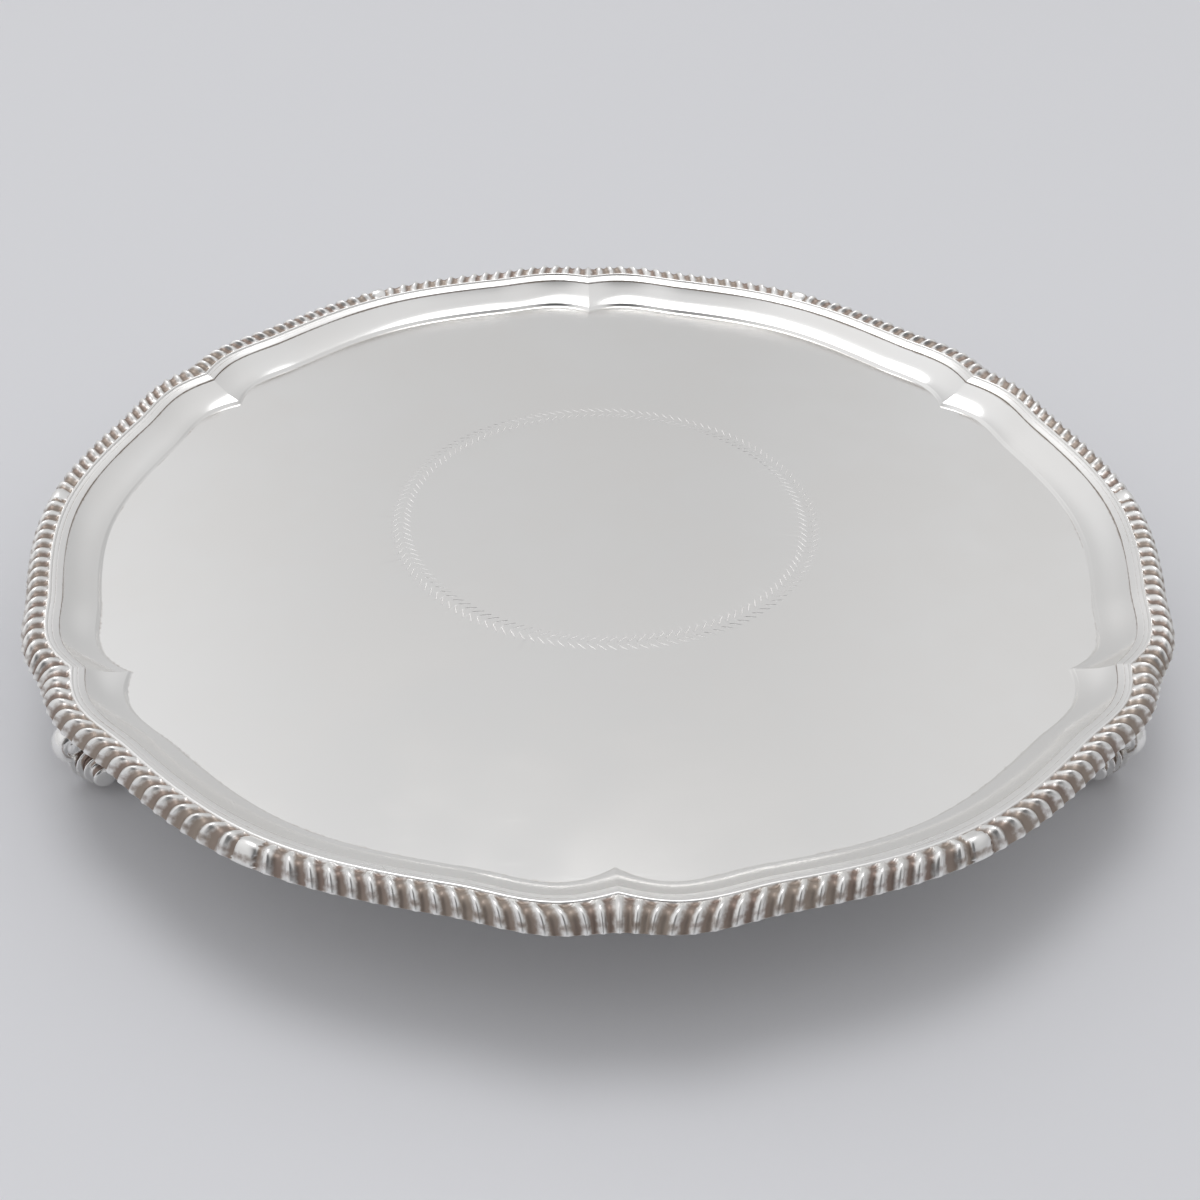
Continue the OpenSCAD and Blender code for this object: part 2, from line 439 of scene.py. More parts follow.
class Effect:
    """A shader node group with named inputs and outputs, built once."""

    def __init__(self, name: str, inputs: dict[str, tuple[str, object]], outputs: Sequence[str]) -> None:
        """Open a new group.

        Args:
            name: Name of the group.
            inputs: For each input its kind of socket and its usual value.
            outputs: Names of the numbers that the group puts out.
        """
        self.group = bpy.data.node_groups.new(name, "ShaderNodeTree")
        for label, (kind, value) in inputs.items():
            socket = self.group.interface.new_socket(label, in_out="INPUT", socket_type=kind)
            if value is not None:
                socket.default_value = value
        for label in outputs:
            self.group.interface.new_socket(label, in_out="OUTPUT", socket_type="NodeSocketFloat")
        self.wiring = Wiring(self.group)
        self.given = self.wiring.add("NodeGroupInput").outputs
        self.result = self.wiring.add("NodeGroupOutput").inputs

    def put(self, label: str, socket: bpy.types.NodeSocket) -> None:
        """Join a socket to one of the group's outputs."""
        self.group.links.new(socket, self.result[label])


class Effects:
    """The shared effects: fine scratches, clouded polish, tarnish and planishing."""

    # Turn, closeness across and closeness along of each set of scratches.
    SCRATCH_SETS = ((17, 2600, 36), (-38, 3100, 52), (81, 2200, 44))
    SCRATCH_EDGE = (0.66, 0.74)
    SCRATCH_PATCH = (0.42, 0.62)
    CLOUD_DETAIL, CLOUD_ROUGH = 4.0, 0.55
    CLOUD_EDGE = (0.3, 0.7)
    GRAIN_CLOSE = 2200.0
    # Closeness, detail and strength of the tarnish's ragged edge and of its slow drift.
    RAGGED = (900.0, 3.0, 0.5)
    DRIFT = (60.0, 2.0, 0.7)
    NEEDS_HOLLOW = (0.02, 0.2)
    BLOOM_EDGE = (0.35, 0.65)

    def __init__(self) -> None:
        """Build every group once."""
        self.scratches = self._scratches()
        self.clouding = self._clouding()
        self.tarnish = self._tarnish()
        self.planishing = self._planishing()

    @staticmethod
    def _scratches() -> bpy.types.NodeTree:
        """Build hair-fine scratches from years of wiping, crossing at three angles."""
        effect = Effect("fine_scratches", {"Vector": ("NodeSocketVector", None),
                                           "Closeness": ("NodeSocketFloat", 1.0)}, ["Mask", "Height"])
        w = effect.wiring
        spread = w.add("VectorMath", {0: effect.given["Vector"], "Scale": effect.given["Closeness"]},
                       operation="SCALE").outputs[0]
        lines = []
        for turn, across, along in Effects.SCRATCH_SETS:
            streak = w.noise(w.stretched(spread, turn, (along, across, across / 4)), 1.0, 1.0)
            patch = w.noise(spread, along, 1.0)
            line = w.ramp(streak, *Effects.SCRATCH_EDGE)
            lines.append(w.math("MULTIPLY", line, w.ramp(patch, *Effects.SCRATCH_PATCH)))
        mask = w.math("MAXIMUM", w.math("MAXIMUM", lines[0], lines[1]), lines[2])
        effect.put("Mask", mask)
        effect.put("Height", w.math("SUBTRACT", 1.0, mask))
        return effect.group

    @staticmethod
    def _clouding() -> bpy.types.NodeTree:
        """Build the soft clouds that a polishing cloth leaves."""
        effect = Effect("clouded_polish", {"Vector": ("NodeSocketVector", None),
                                           "Closeness": ("NodeSocketFloat", 30.0)}, ["Cloud", "Grain"])
        w = effect.wiring
        cloud = w.noise(effect.given["Vector"], effect.given["Closeness"], Effects.CLOUD_DETAIL,
                        Effects.CLOUD_ROUGH)
        effect.put("Cloud", w.ramp(cloud, *Effects.CLOUD_EDGE))
        effect.put("Grain", w.noise(effect.given["Vector"], Effects.GRAIN_CLOSE))
        return effect.group

    @staticmethod
    def _tarnish() -> bpy.types.NodeTree:
        """Build the brown tarnish that stays where a cloth can't reach."""
        effect = Effect("hollow_tarnish", {"Vector": ("NodeSocketVector", None),
                                           "Hollow": ("NodeSocketFloat", 0.0),
                                           "Start": ("NodeSocketFloat", 0.25),
                                           "Full": ("NodeSocketFloat", 0.8)}, ["Mask", "Bloom"])
        w = effect.wiring
        ragged = w.noise(effect.given["Vector"], *Effects.RAGGED[:2])
        drift = w.noise(effect.given["Vector"], *Effects.DRIFT[:2])
        wander = w.math("MULTIPLY_ADD", w.math("SUBTRACT", ragged, 0.5), Effects.RAGGED[2],
                        w.math("MULTIPLY", w.math("SUBTRACT", drift, 0.5), Effects.DRIFT[2]))
        hollow = w.math("ADD", effect.given["Hollow"], wander)
        mask = w.ramp(hollow, effect.given["Start"], effect.given["Full"])
        needed = w.ramp(effect.given["Hollow"], *Effects.NEEDS_HOLLOW)
        effect.put("Mask", w.math("MULTIPLY", mask, needed))
        effect.put("Bloom", w.ramp(drift, *Effects.BLOOM_EDGE))
        return effect.group

    @staticmethod
    def _planishing() -> bpy.types.NodeTree:
        """Build the faint waviness that the planishing hammer leaves."""
        effect = Effect("planishing", {"Vector": ("NodeSocketVector", None),
                                       "Closeness": ("NodeSocketFloat", 25.0)}, ["Height"])
        w = effect.wiring
        effect.put("Height", w.noise(effect.given["Vector"], effect.given["Closeness"], 1.0))
        return effect.group


Colour = tuple[float, float, float, float]


@dataclass(frozen=True)
class SilverFinish:
    """Polished silver with its clouds, scratches and tarnish."""

    name: str
    clean: Colour = (0.935, 0.93, 0.915, 1)
    clouded: Colour = (0.91, 0.90, 0.88, 1)
    tarnished: Colour = (0.24, 0.165, 0.13, 1)
    bloom: Colour = (0.33, 0.265, 0.215, 1)
    tarnish_start: float = 0.25
    tarnish_full: float = 0.85
    tarnish_most: float = 0.9
    polish: float = 0.13
    cloud_dull: float = 0.06
    scratch_dull: float = 0.04
    tarnish_dull: float = 0.22
    cut_dull: float = 0.42
    # Colour of the wreath's cut facets, whiter than the clean silver: a painted glint for the light that
    # bright cuts catch.
    cut_glint_colour: Colour = (1.0, 0.985, 0.97, 1)
    cloud_close: float = 26.0
    scratch_close: float = 1.0
    scratch_deep: float = 0.0002 * MM
    grain_deep: float = 0.0002 * MM
    wave_close: float = 22.0
    wave_deep: float = 0.012 * MM

    def build(self, effects: Effects) -> bpy.types.Material:
        """Build the material.

        Args:
            effects: The shared effects.

        Returns:
            The finished material.
        """
        material = bpy.data.materials.new(self.name)
        w = Wiring.on(material)
        place = w.add("TexCoord").outputs["Object"]
        scratches = w.add("Group", {"Vector": place, "Closeness": self.scratch_close},
                          node_tree=effects.scratches).outputs
        clouding = w.add("Group", {"Vector": place, "Closeness": self.cloud_close},
                         node_tree=effects.clouding).outputs
        # On the border the hollow numbers also carry a painted shade band round the gadroons' outer face,
        # which comes out brown like the tarnish.
        tarnish = w.add("Group", {"Vector": place, "Hollow": w.mark("hollow"), "Start": self.tarnish_start,
                                  "Full": self.tarnish_full}, node_tree=effects.tarnish).outputs
        planishing = w.add("Group", {"Vector": place, "Closeness": self.wave_close},
                           node_tree=effects.planishing).outputs
        metal = w.blend(clouding["Cloud"], self.clean, self.clouded)
        stain = w.blend(tarnish["Bloom"], self.tarnished, self.bloom)
        share = w.math("MULTIPLY", tarnish["Mask"], self.tarnish_most)
        cut = w.mark("cut")
        # The cut facets take the near-white colour in place of clouds and tarnish: a painted glint on the
        # wreath's cuts.
        colour = w.blend(cut, w.blend(share, metal, stain), self.cut_glint_colour)
        dull = w.math("MULTIPLY_ADD", clouding["Cloud"], self.cloud_dull, self.polish)
        for mask, duller in ((scratches["Mask"], self.scratch_dull), (tarnish["Mask"], self.tarnish_dull),
                             (cut, self.cut_dull)):
            dull = w.math("MULTIPLY_ADD", mask, duller, dull)
        waves = w.bump(planishing["Height"], self.wave_deep)
        grain = w.bump(clouding["Grain"], self.grain_deep, waves)
        cuts = w.bump(scratches["Height"], self.scratch_deep, grain)
        shader = w.add("BsdfPrincipled", {"Base Color": colour, "Metallic": 1.0, "Roughness": dull,
                                          "Normal": cuts})
        w.add("OutputMaterial", {"Surface": shader.outputs[0]})
        return material


# ---- the tray ----


@dataclass
class Tray:
    """Raised tray of silver sheet: flange, cavetto, steep lip and a flat floor with a cut wreath."""

    outline: Outline
    finish: SilverFinish = field(default_factory=lambda: SilverFinish("sheet_silver_finish"))
    sheet: float = 1.1 * MM
    well_deep: float = 7.4 * MM
    well_inset: float = 11.6 * MM
    well_cusp: float = 1.9 * MM
    cusp_spread: float = 2.5
    lip_wide: float = 0.9 * MM
    lip_high: float = 0.9 * MM
    hollowness: float = 0.45
    flange: float = 1.5 * MM
    band_wide: float = 3.3 * MM
    step_z: float = -1.65 * MM
    stations: int = 576
    crowding: float = 1.25
    cavetto_rings: int = 22
    lip_rings: int = 6
    floor_rings: int = 14
    band_clear: float = 0.2 * MM
    lip_round: float = 0.35
    floor_crowding: float = 1.9
    smooth_a: float = 16
    line_soft: float = 0.12 * MM
    line_high: float = 0.3 * MM
    line_tarnish: float = 0.35
    step_soft: float = 0.25 * MM
    step_tarnish: float = 0.5
    under_tarnish: float = 0.4
    cut_from: float = 0.02 * MM
    wreath: "Wreath | None" = None

    def section(self) -> Section:
        """Draw the upper face from the flange in to the floor's edge.

        Returns:
            Insets and heights, measured from the gadroons' inner edge.
        """
        points = [(-self.flange, self.step_z), (0.0, self.step_z),
                  (self.band_wide - self.band_clear, self.step_z)]
        lip_at = self.well_inset - self.lip_wide
        lip_top = self.lip_high - self.well_deep
        for ring in range(self.cavetto_rings + 1):
            share = ring / self.cavetto_rings
            fall = (1 + self.hollowness) * share - self.hollowness * share * share
            points.append((mix(self.band_wide, lip_at, share), mix(self.step_z, lip_top, fall)))
        for ring in range(1, self.lip_rings + 1):
            share = ring / self.lip_rings
            points.append((mix(lip_at, self.well_inset, share),
                           lip_top - self.lip_high * mix(share, ease(share), self.lip_round)))
        return points

    def floor_insets(self) -> list[float]:
        """Return the insets of the floor's rings, closer together by its edge."""
        across = self.outline.mean - self.well_inset
        shares = [(ring / self.floor_rings) ** self.floor_crowding for ring in range(1, self.floor_rings)]
        return [self.well_inset + across * share for share in shares]

    def crowd(self, angle: float) -> float:
        """Return an angle moved towards its nearest cusp, so that stations crowd there."""
        half = self.outline.lobe_a / 2
        away = self.outline.from_cusp(angle)
        near = half * (away / half) ** self.crowding
        past = (angle - self.outline.first_cusp) % self.outline.lobe_a
        return angle + (near - away if past <= half else away - near)

    def lobed(self, x: float, y: float) -> tuple[float, float]:
        """Move one point of the round tray out to the lobed outline.

        Args:
            x: Distance along X.
            y: Distance along Y.

        Returns:
            The point's new place.
        """
        round_r = math.hypot(x, y)
        inset = self.outline.mean - round_r
        angle = self.crowd(math.degrees(math.atan2(y, x)))
        away = self.outline.from_cusp(angle)
        share = max(0.0, inset) / self.well_inset
        pull = self.well_cusp * min(1.0, share * share) * near(away, self.cusp_spread)
        fade = min(1.0, round_r / (self.outline.mean - self.well_inset)) ** 3
        reach = round_r + (self.outline.swing(angle) - pull) * fade
        turn = math.radians(angle)
        return reach * math.cos(turn), reach * math.sin(turn)

    def raise_sheet(self) -> bpy.types.Object:
        """Draw the sheet's upper face ring by ring and bend it to the lobed outline.

        Returns:
            The tray's upper face, without thickness.
        """
        points = self.section()
        points += [(inset, -self.well_deep) for inset in self.floor_insets()]
        first = points[0]
        piece = Bench.ring("tray_raised", self.stations, self.outline.mean - first[0],
                           self.outline.rim_z + first[1])
        Bench.edit()
        for (inset, z), (next_inset, next_z) in zip(points, points[1:]):
            grow = (self.outline.mean - next_inset) / (self.outline.mean - inset)
            Bench.draw_on(grow, next_z - z)
        bpy.ops.mesh.extrude_region_move()
        bpy.ops.mesh.merge(type="CENTER")
        Bench.tidy()
        Bench.done()
        for vertex in piece.data.vertices:
            if math.hypot(vertex.co.x, vertex.co.y) > self.sheet:
                vertex.co.x, vertex.co.y = self.lobed(vertex.co.x, vertex.co.y)
        middle = min(piece.data.polygons, key=lambda face: face.center.xy.length)
        if middle.normal.z < 0:
            piece.data.flip_normals()
        return piece

    def build(self, effects: Effects) -> bpy.types.Object:
        """Raise the tray, give it its thickness, cut the wreath and polish it.

        Args:
            effects: The shared effects.

        Returns:
            The finished tray.
        """
        piece = self.raise_sheet()
        Bench.finish_with(piece, "SOLIDIFY", thickness=self.sheet, offset=-1.0, use_even_offset=True)
        if self.wreath:
            cutter = self.wreath.cutter(self.outline.rim_z - self.well_deep)
            Bench.finish_with(piece, "BOOLEAN", operation="DIFFERENCE", object=cutter, solver="EXACT")
            Bench.scrap(cutter)
        Bench.smooth(piece, self.smooth_a)
        self.mark_hollows(piece)
        dress(piece, self.finish.build(effects), "tray")
        return piece

    def mark_hollows(self, piece: bpy.types.Object) -> None:
        """Write where tarnish stays: the line round the floor, the step and the cusps' creases."""
        floor_z = self.outline.rim_z - self.well_deep
        values = []
        for vertex in piece.data.vertices:
            x, y, z = vertex.co
            reach = math.hypot(x, y)
            angle = math.degrees(math.atan2(y, x))
            away = self.outline.from_cusp(angle)
            pull = self.well_cusp * near(away, self.cusp_spread)
            edge = self.outline.reach(angle) - self.well_inset - pull
            step = self.outline.reach(angle) - self.band_wide
            line = near(reach - edge, self.line_soft) if abs(z - floor_z) < self.line_high else 0.0
            by_step = near(step - reach, self.step_soft) if z > floor_z + self.sheet else 0.0
            under = self.under_tarnish if z < floor_z - self.sheet / 2 else 0.0
            values.append(max(line * self.line_tarnish, by_step * self.step_tarnish, under))
        Bench.note(piece, "hollow", values)
        # Mark the wreath's cut facets, which get a rougher finish and a painted near-white glint.
        low, high = floor_z - self.line_high, floor_z - self.cut_from
        Bench.note(piece, "cut", [float(low < vertex.co.z < high) for vertex in piece.data.vertices])


@dataclass
class Wreath:
    """Ring of paired leaf cuts on the tray's floor."""

    radius: float = 57.9 * MM
    centre: tuple[float, float] = (2.0 * MM, 2.1 * MM)
    pairs: int = 144
    long: float = 4.4 * MM
    wide: float = 0.62 * MM
    deep: float = 0.11 * MM
    slant: float = 42.0
    half_gap: float = 0.12 * MM
    clear: float = 0.1 * MM
    corners: int = 10
    pointed: float = 1.5
    keel_long: float = 0.6
    keel_wide: float = 0.05

    def leaf(self) -> bpy.types.Object:
        """Shape the cutter of one leaf: a pointed boat with a keel, about the origin."""
        piece = Bench.ring("leaf_cutter", self.corners, self.long / 2, self.clear)
        for vertex in piece.data.vertices:
            turn = math.atan2(vertex.co.y, vertex.co.x)
            vertex.co.x = self.long / 2 * math.cos(turn)
            vertex.co.y = self.wide / 2 * math.copysign(abs(math.sin(turn)) ** self.pointed, math.sin(turn))
        Bench.edit()
        bpy.ops.mesh.extrude_region_move(TRANSFORM_OT_translate={"value": (0, 0, -self.clear - self.deep)})
        keel = (self.keel_long, self.keel_wide, 1)
        bpy.ops.transform.resize(value=keel, center_override=Vector((0, 0, 0)))
        Bench.close_up()
        return piece

    def cutter(self, floor_z: float) -> bpy.types.Object:
        """Set out every leaf cutter round the wreath and join them.

        Args:
            floor_z: Height of the tray's floor.

        Returns:
            One piece that holds all the cutters.
        """
        leaf = self.leaf()
        lean = math.radians(self.slant)
        middle = self.half_gap + self.long / 2 * math.sin(lean)
        leaves = []
        for number in range(self.pairs):
            turn = Matrix.Rotation(2 * math.pi * number / self.pairs, 4, "Z")
            for side in (-1, 1):
                set_out = Matrix.Translation((self.radius + side * middle, 0, floor_z))
                slanted = Matrix.Rotation(math.pi / 2 - side * lean, 4, "Z")
                twin = Bench.copy(leaf, "leaf")
                twin.data.transform(turn @ set_out @ slanted)
                leaves.append(twin)
        Bench.scrap(leaf)
        cutter = Bench.join(leaves)
        cutter.data.transform(Matrix.Translation((*self.centre, 0)))
        return cutter


# ---- the border ----


@dataclass
class BorderLength:
    """One cast length of gadrooned border, from a cusp to the next."""

    outline: Outline
    finish: SilverFinish
    band_wide: float = 3.3 * MM
    band_drop: float = 1.2 * MM
    step_z: float = -1.65 * MM
    solder: float = 0.05 * MM
    line_at: float = 1.76 * MM
    line_deep: float = 0.05 * MM
    line_half: float = 0.12 * MM
    line_soft: float = 0.08 * MM
    band_edge: float = 0.06 * MM
    band_top: float = 0.28 * MM
    band_round: float = 0.55
    band_steps: int = 12
    fillet_wide: float = 0.8 * MM
    fillet_high: float = 0.27 * MM
    gadroon_wide: float = 5.9 * MM
    rise: float = 1.7 * MM
    drop: float = 1.9 * MM
    squareness: float = 5.0
    cusp_reach: float = 2.0 * MM
    cusp_spread: float = 2.5
    deep: float = 2.7 * MM
    tuck: float = 0.55 * MM
    tip_round: float = 0.12 * MM
    flange: float = 1.5 * MM
    gadroons: int = 18
    groove: float = 1.0 * MM
    lean: float = 1.15
    lean_fade: float = 4.0
    crest_share: float = 0.30
    shoulder: float = 0.58
    per_gadroon: int = 12
    gadroon_steps: int = 18
    bead_steps: int = 7
    joint: float = 0.01 * MM
    merge_gap: float = 0.0005 * MM
    smooth_a: float = 50
    bead_sunk: float = 0.02 * MM
    inner_fade: float = 0.14
    tip_relief: float = 0.75
    tip_from: float = 0.85
    tip_over: float = 0.15
    tip_steps: int = 4
    under_shares: tuple[float, ...] = (0.35, 0.7, 1.0)
    lean_power: float = 1.2
    lean_ease: float = 0.35
    last_half: float = 0.5
    last_round: float = 0.75
    last_tarnish: float = 0.25
    flute_shift: float = 0.18
    flute_power: float = 1.7
    flute_tarnish: float = 0.35
    groove_turn: float = 0.6
    hollow_gain: float = 1.6
    line_tarnish: float = 0.5
    step_soft: float = 0.1 * MM
    step_tarnish: float = 0.6
    under_high: float = 0.05 * MM
    under_tarnish: float = 0.7
    bead_soft: float = 0.12 * MM
    bead_tarnish: float = 0.45
    # Place, spread and strength of a darker band round the gadroons' outer face: painted shade standing in
    # for the dark table that those faces reflect, carried with the tarnish.
    face_at: float = 0.9
    face_soft: float = 0.09
    outer_face_painted_shade: float = 0.55

    def crest(self, u: float) -> float:
        """Return a crest's height, u running from 0 at the inner edge to 1 outside."""
        return self.rise * math.sin(math.pi * u) - self.drop * u ** self.squareness

    def band(self) -> list[tuple[float, float, float]]:
        """Draw the moulded band: step, rounded slope, a fine line and the slope's upper part.

        Returns:
            Points as inset, height and share of the gadroons' relief.
        """
        points = [(self.band_wide, self.step_z + self.solder, 0.0),
                  (self.band_wide, -self.band_drop - self.band_edge, 0.0)]
        start, stop = self.band_wide - self.band_edge, self.fillet_wide + self.band_edge
        insets = [mix(start, stop, step / self.band_steps) for step in range(self.band_steps + 1)]
        insets += [self.line_at + off for off in (-self.line_half, 0.0, self.line_half)]
        for inset in sorted(insets, reverse=True):
            nick = self.line_deep * math.exp(-((inset - self.line_at) / self.line_soft) ** 2)
            points.append((inset, self.band_at(inset) - nick, 0.0))
        return points

    def band_at(self, inset: float) -> float:
        """Return the band's height at an inset, without its fine line."""
        start, stop = self.band_wide - self.band_edge, self.fillet_wide + self.band_edge
        share = (start - inset) / (start - stop)
        bulge = mix(share, math.sin(math.pi / 2 * share), self.band_round)
        return mix(-self.band_drop, -self.band_top, bulge)

    def bead(self) -> list[tuple[float, float, float]]:
        """Draw the thin bright fillet inside the gadroons, as a half-round."""
        points = []
        for step in range(self.bead_steps):
            turn = math.pi * (step + 0.5) / self.bead_steps
            inset = self.fillet_wide / 2 * (1 + math.cos(turn))
            points.append((inset, self.fillet_high * math.sin(turn) - self.bead_sunk, 0.0))
        return points

    def relief_share(self, u: float) -> float:
        """Return how much of the grooves' depth is cut at u."""
        tip = clamp((u - self.tip_from) / self.tip_over)
        return ease(clamp(u / self.inner_fade)) * mix(1.0, self.tip_relief, tip)

    def section(self) -> list[tuple[float, float, float, float]]:
        """Draw the whole section of a length.

        Returns:
            Points as inset, height, share of the relief and u.
        """
        points = [(i, z, s, 0.0) for i, z, s in self.band() + self.bead()]
        for step in range(1, self.gadroon_steps + 1):
            u = math.sin(math.pi / 2 * step / self.gadroon_steps)
            points.append((-self.gadroon_wide * u, self.crest(u), self.relief_share(u), u))
        below = self.deep - self.drop
        for step in range(1, self.tip_steps + 1):
            turn = math.pi / 2 * step / self.tip_steps
            inset = -self.gadroon_wide - self.tip_round * math.cos(turn) + self.tuck * (1 - math.cos(turn))
            points.append((inset, -self.drop - below * math.sin(turn),
                           mix(self.tip_relief, 0.0, step / self.tip_steps), 1.0))
        tuck = -self.gadroon_wide + self.tuck
        for share in self.under_shares:
            points.append((mix(tuck, -self.flange - self.solder, share), -self.deep, 0, 1))
        points.append((-self.flange - self.solder, self.step_z + self.solder, 0, 0))
        points.append((self.band_wide / 2, self.step_z + self.solder, 0, 0))
        return points

    def leaning(self, u: float) -> float:
        """Return the share of the lean at u, as a very flat S."""
        return mix(u ** self.lean_power, ease(u), self.lean_ease)

    def relief(self, phase: float) -> tuple[float, float]:
        """Shape the gadroons across their run.

        Args:
            phase: Place across the gadroons, a whole number on each crest, counted from the cusp.

        Returns:
            Height from 0 in a flute to 1 on a crest, and hollowness for the tarnish.
        """
        if phase > self.gadroons - self.last_half:
            across = 2 * (self.gadroons - phase)
            return math.sqrt(1 - self.last_round * across * across), self.last_tarnish * across ** 4
        off = phase - round(phase)
        side = abs(off) * 2
        if side < self.crest_share:
            return mix(self.shoulder, 1, math.sqrt(1 - (side / self.crest_share) ** 2)), 0.0
        deepest = 1.0 + math.copysign(self.flute_shift, off)
        share = clamp((deepest - side) / (deepest - self.crest_share))
        return self.shoulder * share ** self.flute_power, mix(self.flute_tarnish, 1.0, 1 - share)

    def pitch(self) -> float:
        """Return the angle from one crest to the next."""
        return self.outline.lobe_a / 2 / self.gadroons

    def cast_first(self) -> bpy.types.Object:
        """Spin the plain section from the first cusp to the next, as a closed bar.

        Returns:
            The bar, with each point's place in the section written on it.
        """
        section = self.section()
        Bench.clear()
        bpy.ops.mesh.primitive_circle_add(vertices=len(section), radius=self.gadroon_wide,
                                          location=(0, 0, 0), rotation=(math.pi / 2, 0, 0))
        bpy.ops.object.transform_apply(location=True, rotation=True, scale=True)
        bar = Bench.named("border_bar")
        for vertex, (inset, z, _, _) in zip(bar.data.vertices, section):
            vertex.co = (self.outline.mean - inset, 0, self.outline.rim_z + z)
        for number, name in enumerate(BAR_MARKS):
            Bench.note(bar, name, [point[number] for point in section])
        Bench.edit()
        bpy.ops.mesh.spin(steps=2 * self.gadroons * self.per_gadroon,
                          angle=-math.radians(self.outline.lobe_a), center=(0, 0, 0), axis=(0, 0, 1))
        Bench.close_up(self.merge_gap)
        return bar

    def build(self, bar: bpy.types.Object, length: Length,
              material: bpy.types.Material) -> bpy.types.Object:
        """Work one length's gadroons into a copy of the plain bar.

        Args:
            bar: The plain bar.
            length: Which length this is.
            material: Its finish.

        Returns:
            The finished length.
        """
        name, start = length.value
        piece = Bench.copy(bar, name + "_cast")
        marks = [Bench.noted(piece, mark) for mark in BAR_MARKS]
        half = self.outline.lobe_a / 2
        stop = half - math.degrees(self.joint / self.outline.mean)
        border_tarnish_and_shade = []
        for vertex, inset, z, share, u in zip(piece.data.vertices, *marks):
            turned = math.degrees(math.atan2(vertex.co.y, vertex.co.x))
            swung = half - turned
            side = abs(swung)
            fade = min(1.0, side / self.lean_fade, (half - side) / self.lean_fade)
            phase = (half - side) / self.pitch()
            side = min(stop, side + self.lean * self.leaning(u) * max(0.0, fade))
            height, hollow = self.relief(phase)
            sunk = self.groove * share * (1 - height)
            place = start + half - math.copysign(side, swung)
            outwards = clamp(u) ** 2
            inset_at = inset + sunk * outwards
            reach = self.outline.reach(place) - inset_at + self.cusp_push(inset, place)
            turn = math.radians(place)
            vertex.co = (reach * math.cos(turn), reach * math.sin(turn),
                         self.outline.rim_z + z - sunk * math.sqrt(1 - outwards * self.groove_turn))
            hollow *= min(1.0, share * self.hollow_gain)
            # The numbers written here hold the tarnish and also the painted shade band on the gadroons'
            # outer face.
            border_tarnish_and_shade.append(max(hollow, self.plain_tarnish_and_painted_shade(inset, z, u)))
        Bench.note(piece, "hollow", border_tarnish_and_shade)
        Bench.smooth(piece, self.smooth_a)
        dress(piece, material, name)
        return piece

    def cusp_push(self, inset: float, angle: float) -> float:
        """Return how much further out the gadroons reach by a cusp."""
        wall = self.flange + self.solder
        share = max(0.0, -inset - wall) / (self.gadroon_wide - wall)
        return self.cusp_reach * share * near(self.outline.from_cusp(angle), self.cusp_spread)

    def plain_tarnish_and_painted_shade(self, inset: float, z: float, u: float) -> float:
        """Return how much tarnish the plain mouldings keep at a place in the section, with the painted
        shade band on the gadroons' outer face.
        """
        return max(self.line_tarnish * near(inset - self.line_at, self.line_soft),
                   self.step_tarnish * near(inset - self.band_wide, self.step_soft),
                   self.under_tarnish if z <= -self.deep + self.under_high else 0.0,
                   self.bead_tarnish * near(inset, self.bead_soft) if u == 0 else 0.0,
                   # Painted shade: a darker band round the gadroons' outer face.
                   self.outer_face_painted_shade * math.exp(-((u - self.face_at) / self.face_soft) ** 2))


# ---- the feet ----


